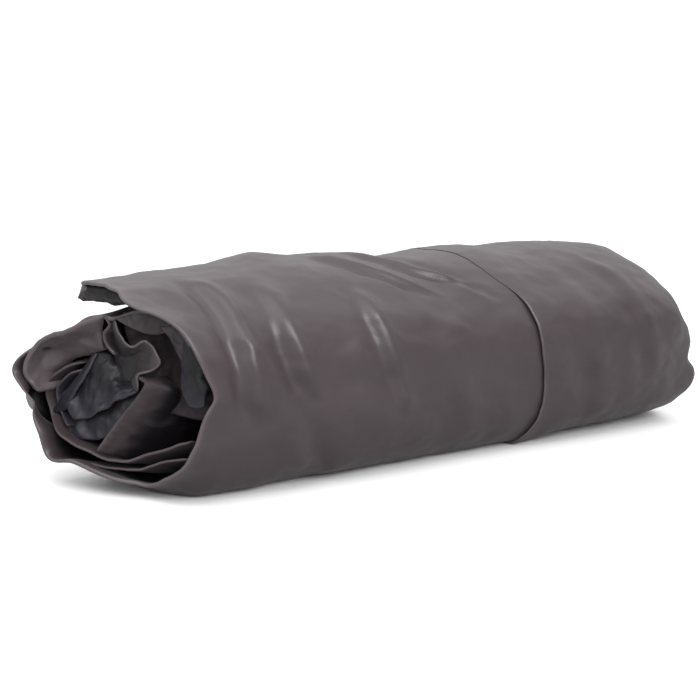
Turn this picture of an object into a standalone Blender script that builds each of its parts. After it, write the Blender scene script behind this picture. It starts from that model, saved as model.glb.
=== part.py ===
"""Infrared sauna blanket, rolled up for storage, as an assembly of wound sheets.

The blanket is a flat bag: a back panel and two front panels that wrap over it and overlap.
It is wound from the head end outwards, so the foot end is the free end on the outside.
Every sheet follows one winding path.  A point of a sheet is given by how far along the path
it is (u, counted in facets), how far out in the stack it is (w) and its place across the
blanket (x).  +X runs along the roll, -Y faces the viewer, +Z is up.
"""

import math

import bmesh
import bpy
from mathutils import Vector

# ---- driving dimensions, metres and degrees ------------------------------------------------
BLANKET_LENGTH = 1.80         # head end to foot end, unrolled
BLANKET_WIDTH = 0.80          # left side wall to right side wall
CORE_RADIUS = 0.0235          # the hollow the winding starts around
FACET = 20.0                  # turn of one facet of the winding
FOOT_PHASE = 130.0            # where the foot end stops: 0 is the front, 90 the top
LEAST_FACETS = 18             # one turn: the search for the right number starts here
TAIL_FACETS = 3               # facets of the lifting foot section
HEM_FACETS = 1                # facets of the hem at its free end
UNDERSIDE_PHASE = -90.0
UNDERSIDE_HALF = 30.0         # the winding does not grow over this half angle
UNDERSIDE_LEVEL = 0.93        # the underside is flattened to this share of the radius
TALLNESS = 1.02               # height of the roll over its width

SHELL = 0.0009                # coated outer fabric
LINER = 0.0009                # inner fabric
HEATER = 0.0020               # carbon-fibre mat between two felts
BACK_WADDING = 0.0094
LEFT_WADDING = 0.0076
TAPE = 0.0011                 # hook tape and loop tape, each
TONGUE = 0.0009
BINDING = 0.0016              # folded edge tape

TOUCH = 0.0003                # between pieces that touch
LYING_SPACE = 0.0008          # between the two liners when the bag is pressed flat
TURN_SPACE = 0.0008           # between one turn and the next

OVERLAP_EDGE = 0.485          # left side wall to the right front panel's free edge
UNDERLAP = 0.070              # how far the closure reaches under that edge
TAPE_WIDTH = 0.050
HEATER_MARGIN = 0.060
FIRST_HEATED = 2              # facet where the chest zone starts
CHEST_EXTRA = 4               # the chest zone starts on small facets, so it takes more of them
RIBBON_WIDTH = 0.010
RIBBON_MARGIN = 0.026
FEED_SPACE = 0.006            # liners stop this far from the left wall, for the side link
SEAM_SPACE = 0.0016           # sheets stop this far from the walls and tapes sewn to them

CORE_PUSH = 0.108             # how far the innermost turn stands out at the left end
PUSH_CLEAR = 20               # facets at the foot end that are wound straight
FOOT_SKEW = 0.042             # how far the foot section's left edge leans out
SKEW_PHASES = (10.0, 50.0)    # the lean grows between these phases
FRONT_FLARE = 0.018           # how far the left edge draws in at the front
FLARE_MIDDLE = -10.0          # phase where it draws in most
FLARE_HALF = 60.0             # and how far to each side of it this reaches

SOCKET_LENGTH = 0.030         # around the roll
SOCKET_DEPTH = 0.024
SOCKET_WALL = 0.0012
SOCKET_CAVITY = 0.017
SOCKET_PHASE = 180.0
CONTACT_RADIUS = 0.0008
CONTACT_LENGTH = 0.0070
CONTACT_PITCH = 0.0052
CONTACT_COUNT = 4
CONTACT_SIDES = 8
BEZEL = 0.0015
BEZEL_RIM = 0.0030
FIT = 0.0003                  # clearance around the socket in what it passes through

SENSOR = (0.016, 0.0055)      # across the blanket, along it
CUTOUT = (0.014, 0.0070)
SHORTEST_STEP = 0.02          # of a facet: a strip has no edge nearer to its ends than this
PART = "sauna_blanket"

# ---- the stack of one turn, from the inside outwards ---------------------------------------
back_shell = (0.0, SHELL)
back_wadding = (back_shell[1] + TOUCH, back_shell[1] + TOUCH + BACK_WADDING)
back_heater = (back_wadding[1] + TOUCH, back_wadding[1] + TOUCH + HEATER)
back_liner = (back_heater[1] + TOUCH, back_heater[1] + TOUCH + LINER)
left_liner = (back_liner[1] + LYING_SPACE, back_liner[1] + LYING_SPACE + LINER)
left_heater = (left_liner[1] + TOUCH, left_liner[1] + TOUCH + HEATER)
left_wadding = (left_heater[1] + TOUCH, left_heater[1] + TOUCH + LEFT_WADDING)
front_shell = (left_wadding[1] + TOUCH, left_wadding[1] + TOUCH + SHELL)
tongue = (left_liner[0], left_liner[0] + TONGUE)
hook_tape = (tongue[1] + TOUCH, tongue[1] + TOUCH + TAPE)
loop_tape = (hook_tape[1] + TOUCH, hook_tape[1] + TOUCH + TAPE)
right_liner = (loop_tape[1] + TOUCH, loop_tape[1] + TOUCH + LINER)
right_wadding = (right_liner[1] + TOUCH, left_wadding[1])
PITCH = front_shell[1] + TURN_SPACE
LEFT_PANEL_EDGE = OVERLAP_EDGE - BINDING - SEAM_SPACE


# ---- the winding path ----------------------------------------------------------------------
def turns_grown(phase):
    """How many pitches the path has grown at a phase; it holds still over the underside."""
    past = phase - UNDERSIDE_PHASE
    whole = math.floor((past + UNDERSIDE_HALF) / 360.0)
    part = (past - 360.0 * whole - UNDERSIDE_HALF) / (360.0 - 2.0 * UNDERSIDE_HALF)
    return whole + min(1.0, max(0.0, part))


def path_radius(phase, first_phase):
    return CORE_RADIUS + PITCH * (turns_grown(phase) - turns_grown(first_phase))


def section(phase, radius):
    """A point of the roll's cross-section about its own axis, as (y, z)."""
    angle = math.radians(phase)
    rise = max(math.sin(angle), -UNDERSIDE_LEVEL)
    return (-radius * math.cos(angle), radius * rise * TALLNESS)


def wound_length(facets):
    """Length of the back liner when the path has this many facets and ends at FOOT_PHASE."""
    phases = [FOOT_PHASE - FACET * (facets - k) for k in range(facets + 1)]
    ends = [section(p, path_radius(p, phases[0]) + back_liner[1]) for p in phases]
    return sum(math.dist(a, b) for a, b in zip(ends, ends[1:]))


FACETS = LEAST_FACETS
while BLANKET_LENGTH - wound_length(FACETS) > wound_length(FACETS + 1) - BLANKET_LENGTH:
    FACETS += 1
FIRST_PHASE = FOOT_PHASE - FACET * FACETS
TAIL_START = FACETS - TAIL_FACETS - HEM_FACETS
HEM_START = FACETS - HEM_FACETS


def phase_at(u):
    return FIRST_PHASE + FACET * u


def nearest_facet(phase):
    """The facet of the outermost turn whose middle is nearest a phase."""
    return round((phase - 360.0 - FIRST_PHASE) / FACET - 0.5)


LOWEST = path_radius(UNDERSIDE_PHASE, FIRST_PHASE) + front_shell[1]
AXIS_HEIGHT = LOWEST * UNDERSIDE_LEVEL * TALLNESS


def wound(u, w):
    """(y, z) of the point u facets along the path and w out in the stack."""
    low = min(max(math.floor(u), -1), FACETS - 1)
    ends = []
    for k in (low, low + 1):
        ends.append(section(phase_at(k), path_radius(phase_at(k), FIRST_PHASE) + w))
    t = u - low
    y = ends[0][0] + t * (ends[1][0] - ends[0][0])
    z = ends[0][1] + t * (ends[1][1] - ends[0][1])
    return (y, z + AXIS_HEIGHT)


def edge_at(corner):
    """Where the left edge lies at a corner of the path: out at the core and at the foot."""
    push = CORE_PUSH * max(0.0, 1.0 - corner / (FACETS - PUSH_CLEAR))
    phase = phase_at(corner)
    start, stop = SKEW_PHASES
    skew = FOOT_SKEW * min(1.0, max(0.0, (phase - start) / (stop - start)))
    flare = FRONT_FLARE * max(0.0, 1.0 - abs(phase - FLARE_MIDDLE) / FLARE_HALF)
    return -push - skew + flare


def left_edge(u):
    low = min(max(math.floor(u), -1), FACETS - 1)
    return edge_at(low) + (u - low) * (edge_at(low + 1) - edge_at(low))


# ---- building blocks -----------------------------------------------------------------------
def material(name, colour, roughness, metallic=0.0):
    made = bpy.data.materials.new(name)
    made.use_nodes = True
    shader = made.node_tree.nodes["Principled BSDF"]
    shader.inputs["Base Color"].default_value = (*colour, 1.0)
    shader.inputs["Roughness"].default_value = roughness
    shader.inputs["Metallic"].default_value = metallic
    return made


def face_outwards(bm):
    """Points every face of a closed mesh away from its inside."""
    bmesh.ops.recalc_face_normals(bm, faces=bm.faces[:])
    if bm.calc_volume(signed=True) < 0.0:
        bmesh.ops.reverse_faces(bm, faces=bm.faces[:])


def node(name, bm, finish):
    """Turns a finished bmesh into a named object of the part."""
    face_outwards(bm)
    mesh = bpy.data.meshes.new(name)
    bm.to_mesh(mesh)
    bm.free()
    made = bpy.data.objects.new(name, mesh)
    made.data.materials.append(material(name, *finish))
    parts.objects.link(made)
    made.parent = root
    return made


def stations(first, last):
    """The path values where a strip has an edge: its two ends and each corner between."""
    keep = [float(k) for k in range(1, FACETS) if first + SHORTEST_STEP < k < last - SHORTEST_STEP]
    return [first, *keep, last]


def strip_mesh(layer, across, first, last):
    """A closed strip of the winding: layer is (w, w), across is (x, x) from the left edge."""
    along = stations(first, last)
    bm = bmesh.new()
    bmesh.ops.create_grid(bm, x_segments=len(along) - 1, y_segments=1, size=1.0)
    place = {}
    for vert in bm.verts:
        step = round((vert.co.x + 1.0) / 2.0 * (len(along) - 1))
        place[vert] = (along[step], across[0] if vert.co.y < 0.0 else across[1])
    made = bmesh.ops.extrude_face_region(bm, geom=bm.faces[:], use_keep_orig=True)
    outer = [item for item in made["geom"] if isinstance(item, bmesh.types.BMVert)]
    for vert in outer:
        step = round((vert.co.x + 1.0) / 2.0 * (len(along) - 1))
        set_point(vert, along[step], across[0] if vert.co.y < 0.0 else across[1], layer[1])
    for vert, (u, x) in place.items():
        set_point(vert, u, x, layer[0])
    return bm


def set_point(vert, u, x, w):
    y, z = wound(u, w)
    vert.co = (left_edge(u) + x, y, z)


def strip(name, layer, across, first, last, finish):
    return node(name, strip_mesh(layer, across, first, last), finish)


def facet_gap(u):
    """A touching gap, measured along the facet that starts at u."""
    here, there = wound(math.floor(u), 0.0), wound(math.floor(u) + 1, 0.0)
    return TOUCH / math.dist(here, there)


def facet_frame(facet, w):
    """Middle of a facet at height w, with its outward and onward directions."""
    here, there = wound(facet, w), wound(facet + 1, w)
    onward = Vector((0.0, there[0] - here[0], there[1] - here[1])).normalized()
    outward = Vector((1.0, 0.0, 0.0)).cross(onward)
    middle = Vector((left_edge(facet + 0.5), (here[0] + there[0]) / 2, (here[1] + there[1]) / 2))
    return middle, outward, onward


def block_mesh(facet, layer, across, along):
    """A box lying in one facet: layer (w, w), across (x, x), along (offset, offset)."""
    bm = bmesh.new()
    bmesh.ops.create_cube(bm, size=1.0)
    low, outward, onward = facet_frame(facet, 0.0)
    rise = facet_rise(facet)
    for vert in bm.verts:
        x = across[0] if vert.co.x < 0 else across[1]
        run = along[0] if vert.co.y < 0 else along[1]
        w = layer[0] if vert.co.z < 0 else layer[1]
        vert.co = low + Vector((x, 0, 0)) + onward * run + outward * (w * rise)
    return bm


def facet_rise(facet):
    """How far apart two facets lie for each metre of stack between them."""
    low, outward, _ = facet_frame(facet, 0.0)
    high, _, _ = facet_frame(facet, PITCH)
    return (high - low).dot(outward) / PITCH


def block(name, facet, layer, across, along, finish):
    return node(name, block_mesh(facet, layer, across, along), finish)


def cut(target, bm, name):
    """Takes a cutter's shape out of a node with an exact Boolean."""
    mesh = bpy.data.meshes.new(name)
    face_outwards(bm)
    bm.to_mesh(mesh)
    bm.free()
    cutter = bpy.data.objects.new(name, mesh)
    cutter.hide_render = True
    cutter.display_type = "WIRE"
    cutters.objects.link(cutter)
    cutter.parent = root
    boolean = target.modifiers.new(name, "BOOLEAN")
    boolean.object = cutter
    boolean.operation = "DIFFERENCE"
    boolean.solver = "EXACT"


# ---- finishes: colour, roughness, metallic -------------------------------------------------
TAUPE = ((0.130, 0.108, 0.115), 0.42)
DARK_LINING = ((0.022, 0.022, 0.030), 0.38)
WADDING = ((0.62, 0.62, 0.60), 0.95)
CARBON = ((0.018, 0.018, 0.020), 0.70)
TAPE_BLACK = ((0.020, 0.020, 0.022), 0.90)
TRIM = ((0.085, 0.070, 0.076), 0.60)
PLASTIC = ((0.025, 0.025, 0.028), 0.45)
COPPER = ((0.75, 0.38, 0.22), 0.35, 0.9)
WIRE = ((0.45, 0.06, 0.04), 0.55)
METAL = ((0.78, 0.72, 0.52), 0.30, 1.0)


# ---- the sheets of a section of the blanket ------------------------------------------------
def panels(prefix, first, last):
    """Back panel and the two front panels between two places along the winding."""
    far = BLANKET_WIDTH - SEAM_SPACE
    full = (SEAM_SPACE, far)
    lining = (FEED_SPACE, far)
    left = (SEAM_SPACE, LEFT_PANEL_EDGE)
    left_lining = (FEED_SPACE, LEFT_PANEL_EDGE)
    right = (OVERLAP_EDGE + SEAM_SPACE, far)
    strip(prefix + "back_outer_shell", back_shell, full, first, last, TAUPE)
    strip(prefix + "back_wadding", back_wadding, full, first, last, WADDING)
    strip(prefix + "back_liner", back_liner, lining, first, last, DARK_LINING)
    strip(prefix + "left_front_liner", left_liner, left_lining, first, last, DARK_LINING)
    strip(prefix + "left_front_wadding", left_wadding, left, first, last, WADDING)
    strip(prefix + "left_front_outer_shell", front_shell, left, first, last, TAUPE)
    strip(prefix + "right_front_liner", right_liner, right, first, last, DARK_LINING)
    strip(prefix + "right_front_wadding", right_wadding, right, first, last, WADDING)
    strip(prefix + "right_front_outer_shell", front_shell, right, first, last, TAUPE)


def edges(prefix, first, last):
    """The two side walls and the tape on the overlapping edge."""
    wall = (back_shell[0], front_shell[1])
    left = (-SHELL, 0.0)
    right = (BLANKET_WIDTH, BLANKET_WIDTH + SHELL)
    tape = (OVERLAP_EDGE - BINDING, OVERLAP_EDGE)
    strip(prefix + "left_side_wall", wall, left, first, last, TAUPE)
    strip(prefix + "right_side_wall", wall, right, first, last, TAUPE)
    bound = (right_liner[0], front_shell[1])
    strip(prefix + "overlap_edge_binding", bound, tape, first, last, TRIM)


def closure(first, last):
    """Tongue, hook tape and loop tape under the overlapping edge."""
    start = OVERLAP_EDGE + SEAM_SPACE
    strip("underlap_tongue", tongue, (start, start + UNDERLAP), first, last, TAUPE)
    tape = (start + (UNDERLAP - TAPE_WIDTH) / 2, start + (UNDERLAP + TAPE_WIDTH) / 2)
    strip("hook_strip", hook_tape, tape, first, last, TAPE_BLACK)
    strip("loop_strip", loop_tape, tape, first, last, TAPE_BLACK)


def head_bindings():
    """Tape folded over the head ends of the three panels."""
    near = -facet_gap(-1)
    first = near * (BINDING + TOUCH) / TOUCH
    far = BLANKET_WIDTH - SEAM_SPACE
    left = (FEED_SPACE, LEFT_PANEL_EDGE)
    right = (OVERLAP_EDGE + SEAM_SPACE, far)
    back = (FEED_SPACE, far)
    strip("back_head_binding", (back_shell[0], back_liner[1]), back, first, near, TRIM)
    strip("left_front_head_binding", (left_liner[0], front_shell[1]), left, first, near, TRIM)
    strip("right_front_head_binding", (right_liner[0], front_shell[1]), right, first, near, TRIM)


# ---- heating and wiring --------------------------------------------------------------------
def zone_facets():
    """First and last facet of each heating zone, one facet apart."""
    end = TAIL_START - 1
    length = (end - FIRST_HEATED - 2) // 3
    chest = (FIRST_HEATED, FIRST_HEATED + length + CHEST_EXTRA)
    waist = (chest[1] + 1, chest[1] + length)
    legs = (waist[1] + 1, end)
    return {"chest": chest, "waist": waist, "legs": legs}


def heaters(zones):
    back = (HEATER_MARGIN, BLANKET_WIDTH - HEATER_MARGIN)
    front = (HEATER_MARGIN, OVERLAP_EDGE - HEATER_MARGIN)
    for name, (first, last) in zones.items():
        strip("back_heater_" + name, back_heater, back, first, last, CARBON)
        strip("front_heater_" + name, left_heater, front, first, last, CARBON)


def patch(name, facet, layer, across, length, finish):
    """A small flat piece in the middle of a facet."""
    half = length / 2 / facet_length(facet)
    strip(name, layer, across, facet + 0.5 - half, facet + 0.5 + half, finish)


def sensors(zones):
    """A temperature sensor and a thermal cut-out beside each back heating mat."""
    edge = BLANKET_WIDTH - HEATER_MARGIN + TOUCH
    for name, (_, last) in zones.items():
        across = (edge, edge + SENSOR[0])
        patch(name + "_temperature_sensor", last - 2, back_heater, across, SENSOR[1], METAL)
        across = (edge, edge + CUTOUT[0])
        patch(name + "_thermal_cutout", last - 1, back_heater, across, CUTOUT[1], PLASTIC)


def wiring(zones):
    """Flat ribbons in the heater slots, from the far margin round to the front panel."""
    first, last = zones["chest"][0], zones["legs"][1]
    ribbon = (BLANKET_WIDTH - RIBBON_MARGIN - RIBBON_WIDTH, BLANKET_WIDTH - RIBBON_MARGIN)
    strip("back_harness", back_heater, ribbon, first, last, WIRE)
    front = (RIBBON_MARGIN, RIBBON_MARGIN + RIBBON_WIDTH)
    strip("front_harness", left_heater, front, first, last, WIRE)
    gap = zones["waist"][1]
    width = min(RIBBON_WIDTH, facet_length(gap) - 4 * TOUCH)
    across = (RIBBON_MARGIN + TOUCH, ribbon[0] - TOUCH)
    patch("cross_lead", gap, back_heater, across, width, WIRE)
    side_link(gap, width / 2 / facet_length(gap))


def facet_length(facet):
    return math.dist(wound(facet, back_heater[0]), wound(facet + 1, back_heater[0]))


def swept_outline(outline, start, end):
    """A closed (x, w) outline carried along one facet, as a bmesh."""
    bm = bmesh.new()
    corners = [bm.verts.new((0.0, 0.0, 0.0)) for _ in outline]
    made = bmesh.ops.extrude_face_region(bm, geom=[bm.faces.new(corners)], use_keep_orig=True)
    moved = [item for item in made["geom"] if isinstance(item, bmesh.types.BMVert)]
    for verts, u in ((corners, start), (moved, end)):
        for vert, (x, w) in zip(verts, outline):
            set_point(vert, u, x, w)
    return bm


def side_link(facet, half):
    """Ribbon that turns round the liners' left edges, from the back panel to the front."""
    out = RIBBON_MARGIN - TOUCH
    turn = (SEAM_SPACE, FEED_SPACE - TOUCH)
    outline = [(out, back_heater[0]), (out, back_heater[1]), (turn[1], back_heater[1]),
               (turn[1], left_heater[0]), (out, left_heater[0]), (out, left_heater[1]),
               (turn[0], left_heater[1]), (turn[0], back_heater[0])]
    node("side_link", swept_outline(outline, facet + 0.5 - half, facet + 0.5 + half), WIRE)


# ---- controller socket ---------------------------------------------------------------------
def socket():
    """The inlet that the controller plugs into, let into the right side wall."""
    facet = nearest_facet(SOCKET_PHASE)
    half = SOCKET_LENGTH / 2
    face = BLANKET_WIDTH + SHELL + TOUCH
    back = face - SOCKET_DEPTH
    housing = block_mesh(facet, (back_wadding[0] + FIT, back_wadding[1] - FIT),
                         (back, face), (-half, half))
    mouth = max(housing.faces, key=lambda f: f.calc_center_median().x)
    bmesh.ops.inset_individual(housing, faces=[mouth], thickness=SOCKET_WALL, use_even_offset=True)
    made = bmesh.ops.extrude_discrete_faces(housing, faces=[mouth])
    bmesh.ops.translate(housing, vec=(-SOCKET_CAVITY, 0, 0), verts=made["faces"][0].verts[:])
    node("controller_socket", housing, PLASTIC)

    pocket_back = BLANKET_WIDTH - RIBBON_MARGIN - RIBBON_WIDTH
    layer = (back_wadding[0] - TOUCH / 2, back_wadding[1] + TOUCH / 2)
    pocket = block_mesh(facet, layer, (pocket_back, BLANKET_WIDTH + FIT), (-half - FIT, half + FIT))
    cut(bpy.data.objects["back_wadding"], pocket, "socket_pocket")
    hole = block_mesh(facet, (back_wadding[0], back_wadding[1]), (BLANKET_WIDTH, face + FIT),
                      (-half - FIT, half + FIT))
    cut(bpy.data.objects["right_side_wall"], hole, "socket_hole")

    lead = (pocket_back + FIT, back - TOUCH)
    block("socket_lead", facet, (back_wadding[1] - HEATER, back_wadding[1] - FIT), lead,
          (-RIBBON_WIDTH / 2, RIBBON_WIDTH / 2), WIRE)
    contacts(facet, face - SOCKET_CAVITY + TOUCH)
    bezel(facet, face + TOUCH, half)


def contacts(facet, floor):
    """Pins standing in the socket, each a node of its own."""
    middle = (back_wadding[0] + back_wadding[1]) / 2
    low, outward, onward = facet_frame(facet, 0.0)
    for k in range(CONTACT_COUNT):
        run = (k - (CONTACT_COUNT - 1) / 2) * CONTACT_PITCH
        centre = low + onward * run + outward * (middle * facet_rise(facet))
        centre.x += floor + CONTACT_LENGTH / 2
        bm = bmesh.new()
        bmesh.ops.create_cone(bm, cap_ends=True, segments=CONTACT_SIDES, radius1=CONTACT_RADIUS,
                              radius2=CONTACT_RADIUS, depth=CONTACT_LENGTH)
        for vert in bm.verts:
            vert.co = centre + Vector((vert.co.z, vert.co.x, vert.co.y))
        node(f"socket_contact_{k + 1}", bm, METAL)


def bezel(facet, face, half):
    """Frame around the socket's mouth, on the outside of the wall."""
    layer = (back_wadding[0] + FIT - BEZEL_RIM, back_wadding[1] - FIT + BEZEL_RIM)
    layer = (max(back_shell[0] + TOUCH, layer[0]), layer[1])
    bm = block_mesh(facet, layer, (face, face + BEZEL), (-half - BEZEL_RIM, half + BEZEL_RIM))
    made = node("socket_bezel", bm, PLASTIC)
    inner = (back_wadding[0] + FIT + SOCKET_WALL, back_wadding[1] - FIT - SOCKET_WALL)
    hole = block_mesh(facet, inner, (face - BEZEL, face + 2 * BEZEL),
                      (-half + SOCKET_WALL, half - SOCKET_WALL))
    cut(made, hole, "bezel_hole")


# ---- foot hem ------------------------------------------------------------------------------
def hem(first):
    """Folded tape around the free end, with a webbing stiffener inside."""
    gap = facet_gap(first)
    start = first + gap
    width = (-SHELL, BLANKET_WIDTH + SHELL)
    low, high = back_shell[0], front_shell[1]
    end = FACETS
    wall = BINDING / math.dist(wound(end - 1, 0.0), wound(end, 0.0))
    outline = [(start, low), (end, low), (end, high), (start, high),
               (start, high - BINDING), (end - wall, high - BINDING),
               (end - wall, low + BINDING), (start, low + BINDING)]
    bm = bmesh.new()
    corners = []
    for u, w in outline:
        y, z = wound(u, w)
        corners.append(bm.verts.new((left_edge(end) + width[0], y, z)))
    face = bm.faces.new(corners)
    made = bmesh.ops.extrude_face_region(bm, geom=[face], use_keep_orig=True)
    moved = [item for item in made["geom"] if isinstance(item, bmesh.types.BMVert)]
    bmesh.ops.translate(bm, vec=(width[1] - width[0], 0, 0), verts=moved)
    node("foot_hem_binding", bm, TAUPE)
    core = (low + BINDING + TOUCH, high - BINDING - TOUCH)
    strip("foot_hem_webbing", core, width, start, end - wall - gap, TRIM)


# ---- assembly ------------------------------------------------------------------------------
for old in list(bpy.data.objects):
    bpy.data.objects.remove(old, do_unlink=True)
parts = bpy.data.collections.new(PART)
cutters = bpy.data.collections.new("cutters")
for made_collection in (parts, cutters):
    bpy.context.scene.collection.children.link(made_collection)
root = bpy.data.objects.new("roll_axis", None)
parts.objects.link(root)

panels("", 0, TAIL_START)
edges("", 0, TAIL_START)
closure(0, TAIL_START)
head_bindings()
ZONE_FACETS = zone_facets()
heaters(ZONE_FACETS)
sensors(ZONE_FACETS)
wiring(ZONE_FACETS)
socket()

foot_first = TAIL_START + facet_gap(TAIL_START)
panels("foot_", foot_first, HEM_START)
edges("foot_", foot_first, HEM_START)
hem(HEM_START)

bpy.context.view_layer.update()
corners = [ob.matrix_world @ v.co for ob in parts.objects if ob.type == "MESH" for v in ob.data.vertices]
middle_x = (min(c.x for c in corners) + max(c.x for c in corners)) / 2
middle_y = (min(c.y for c in corners) + max(c.y for c in corners)) / 2
root.location = (-middle_x, -middle_y, 0.0)
bpy.context.view_layer.update()
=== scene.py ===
"""Looks of a rolled infrared sauna blanket: quilted coated fabric, its folds and its lining."""

import math

import bmesh
import bpy
import numpy as np
from bpy.props import FloatProperty, FloatVectorProperty, PointerProperty
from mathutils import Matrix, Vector, noise

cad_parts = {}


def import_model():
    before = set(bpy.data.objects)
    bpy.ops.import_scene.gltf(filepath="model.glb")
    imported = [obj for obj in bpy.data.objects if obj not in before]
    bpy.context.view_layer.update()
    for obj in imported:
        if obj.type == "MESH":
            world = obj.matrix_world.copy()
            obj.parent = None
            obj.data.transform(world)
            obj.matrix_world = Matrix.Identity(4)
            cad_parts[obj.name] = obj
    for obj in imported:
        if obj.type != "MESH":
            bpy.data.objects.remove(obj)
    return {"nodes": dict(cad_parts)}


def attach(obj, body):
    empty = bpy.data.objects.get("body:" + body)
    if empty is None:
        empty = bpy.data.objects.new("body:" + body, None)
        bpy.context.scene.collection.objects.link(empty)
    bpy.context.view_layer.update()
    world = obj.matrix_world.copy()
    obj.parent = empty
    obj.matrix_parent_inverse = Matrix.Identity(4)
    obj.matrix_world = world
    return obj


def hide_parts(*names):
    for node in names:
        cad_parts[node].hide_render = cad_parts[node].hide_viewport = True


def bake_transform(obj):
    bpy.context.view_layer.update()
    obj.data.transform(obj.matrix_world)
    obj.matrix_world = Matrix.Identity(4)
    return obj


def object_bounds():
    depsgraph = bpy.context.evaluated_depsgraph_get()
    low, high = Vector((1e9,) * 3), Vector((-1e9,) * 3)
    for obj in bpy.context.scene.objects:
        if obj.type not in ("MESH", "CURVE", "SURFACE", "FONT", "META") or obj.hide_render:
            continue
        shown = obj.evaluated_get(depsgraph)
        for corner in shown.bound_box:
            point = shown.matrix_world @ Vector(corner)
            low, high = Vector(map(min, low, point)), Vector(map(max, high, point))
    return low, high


bl_info = {
    "name": "Rolled sauna blanket",
    "version": (1, 0, 0),
    "blender": (4, 5, 0),
    "location": "View3D > Sidebar > Blanket",
    "description": "Builds the fabric of a rolled infrared sauna blanket over its frame",
    "category": "Object",
}

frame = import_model()
CAD_LOW, CAD_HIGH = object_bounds()

# The roll's own axes: x = 0 is where its left rim lies on average, and z = 0 is the floor.
CORE_STANDS_OUT = 0.1089  # the frame's core reaches this far past the rim
RIM_X = CAD_LOW[0] + CORE_STANDS_OUT
AXIS_Y = 0.0055
AXIS_Z = 0.128

# Phases go round the roll in degrees: 0 is the front, 90 the top, -90 underneath, and each
# turn inwards is 360 less.
UNDERNEATH = -90.0
LAST_TURN_STARTS = -335.0  # the outermost turn starts here, high at the front, under its own end
CORE_STARTS = -1900.0  # the innermost end of the winding
FOOT_LINING_STARTS = 44.0  # the foot's lining starts here, near the foot's hinge
TAIL_ENDS = 106.0  # the foot's panels end and the hem goes on
HEM_ENDS = 129.0  # the free edge
PITCH_SHARE = 0.165  # the roll grows by this share of its front radius in one turn
ALONG_DEGREE = 0.0023  # metres of fabric in one degree of the foot
LAPS_OVER = 2.0  # degrees that a piece goes on past the one it meets
SOCKET_PHASE = -180.0  # the socket sits in the far end at the back
ROUND_STEPS = 7               # points round a folded edge

# The cross-section is a rounded box: half its width, and its height over and under the axis.
HALF_WIDE = 0.1295
HALF_TALL_BELOW = 0.1400
TOP_SINKS = 0.004  # the top lies this much lower than its profile says
LOW_WIDER = (0.010, 0.20, 0.10)  # low down: how much wider, its middle and reach along the roll
SQUARER_BELOW = 0.80  # added to the box's power underneath

# Pairs of the place along the roll and the height of its top over the axis.
TOP_PROFILE = [(-0.06, 0.114), (0.00, 0.119), (0.05, 0.118), (0.10, 0.123), (0.15, 0.132),
               (0.20, 0.130), (0.25, 0.128), (0.30, 0.124), (0.35, 0.1225), (0.40, 0.127),
               (0.45, 0.129), (0.50, 0.125), (0.60, 0.127), (0.70, 0.124), (0.80, 0.113)]

# The far end draws in: where that starts, and the share of the radius that it takes, by phase.
FAR_STARTS = [(-335, 0.64), (-250, 0.64), (-90, 0.60), (-50, 0.62), (0, 0.66), (60, 0.64), (130, 0.62)]
FAR_DRAWN = [(-335, 0.28), (-250, 0.20), (-205, 0.015), (-155, 0.015), (-90, 0.08), (-45, 0.06),
             (0, 0.22), (40, 0.39), (90, 0.39), (130, 0.31)]
FAR_END = 0.80
FAR_LIFT = (0.0085, 0.42, 0.26)  # the underside rises this much, from here, over this length

# The mouth's rim: phase, how far out it lies along the roll, and its distance from the axis.
MOUTH_RIM = [
    (-335, 0.010, 0.112), (-310, 0.000, 0.100), (-293, -0.022, 0.089), (-284, -0.038, 0.077),
    (-276, -0.047, 0.077), (-242, -0.071, 0.066), (-203, -0.093, 0.088), (-182, -0.110, 0.103),
    (-171, -0.106, 0.088), (-156, -0.098, 0.080), (-151, -0.098, 0.087), (-135, -0.094, 0.097),
    (-125, -0.088, 0.113), (-109, -0.074, 0.100), (-92, -0.057, 0.104), (-79, -0.040, 0.113),
    (-69, -0.022, 0.123), (-50, -0.012, 0.133), (-34, -0.003, 0.140), (-23, 0.004, 0.134),
    (-10, 0.011, 0.133), (-2, 0.019, 0.137), (8, 0.010, 0.139), (17, 0.000, 0.1425),
    (28, -0.012, 0.1425), (36, -0.029, 0.141), (44, -0.049, 0.135), (63, -0.051, 0.123),
    (90, -0.053, 0.114), (104, -0.053, 0.114), (118, -0.051, 0.114), (130, -0.045, 0.110),
]
# How far along the roll the rim's own shape fades out, the far rim, and the edge of the overlap.
RIM_REACH = [(-335, 0.10), (-240, 0.16), (-182, 0.13), (-172, 0.04), (-150, 0.04), (-138, 0.10),
             (-120, 0.10), (-70, 0.06), (0, 0.05), (40, 0.06), (90, 0.13), (130, 0.13)]
FAR_RIM = [(-335, 0.765), (-250, 0.785), (-200, 0.8005), (-160, 0.8005), (-90, 0.806), (-70, 0.809),
           (-54, 0.791), (-38, 0.814), (-18, 0.790), (-2, 0.803), (12, 0.782), (32, 0.773), (48, 0.760),
           (70, 0.750), (104, 0.737), (130, 0.735)]
OVERLAP_EDGE = [(-335, 0.47), (-250, 0.49), (-90, 0.480), (-57, 0.489), (-40, 0.501), (-15, 0.498),
                (0, 0.487), (20, 0.478), (33, 0.468), (46, 0.448), (70, 0.424), (104, 0.400), (130, 0.39)]

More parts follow.
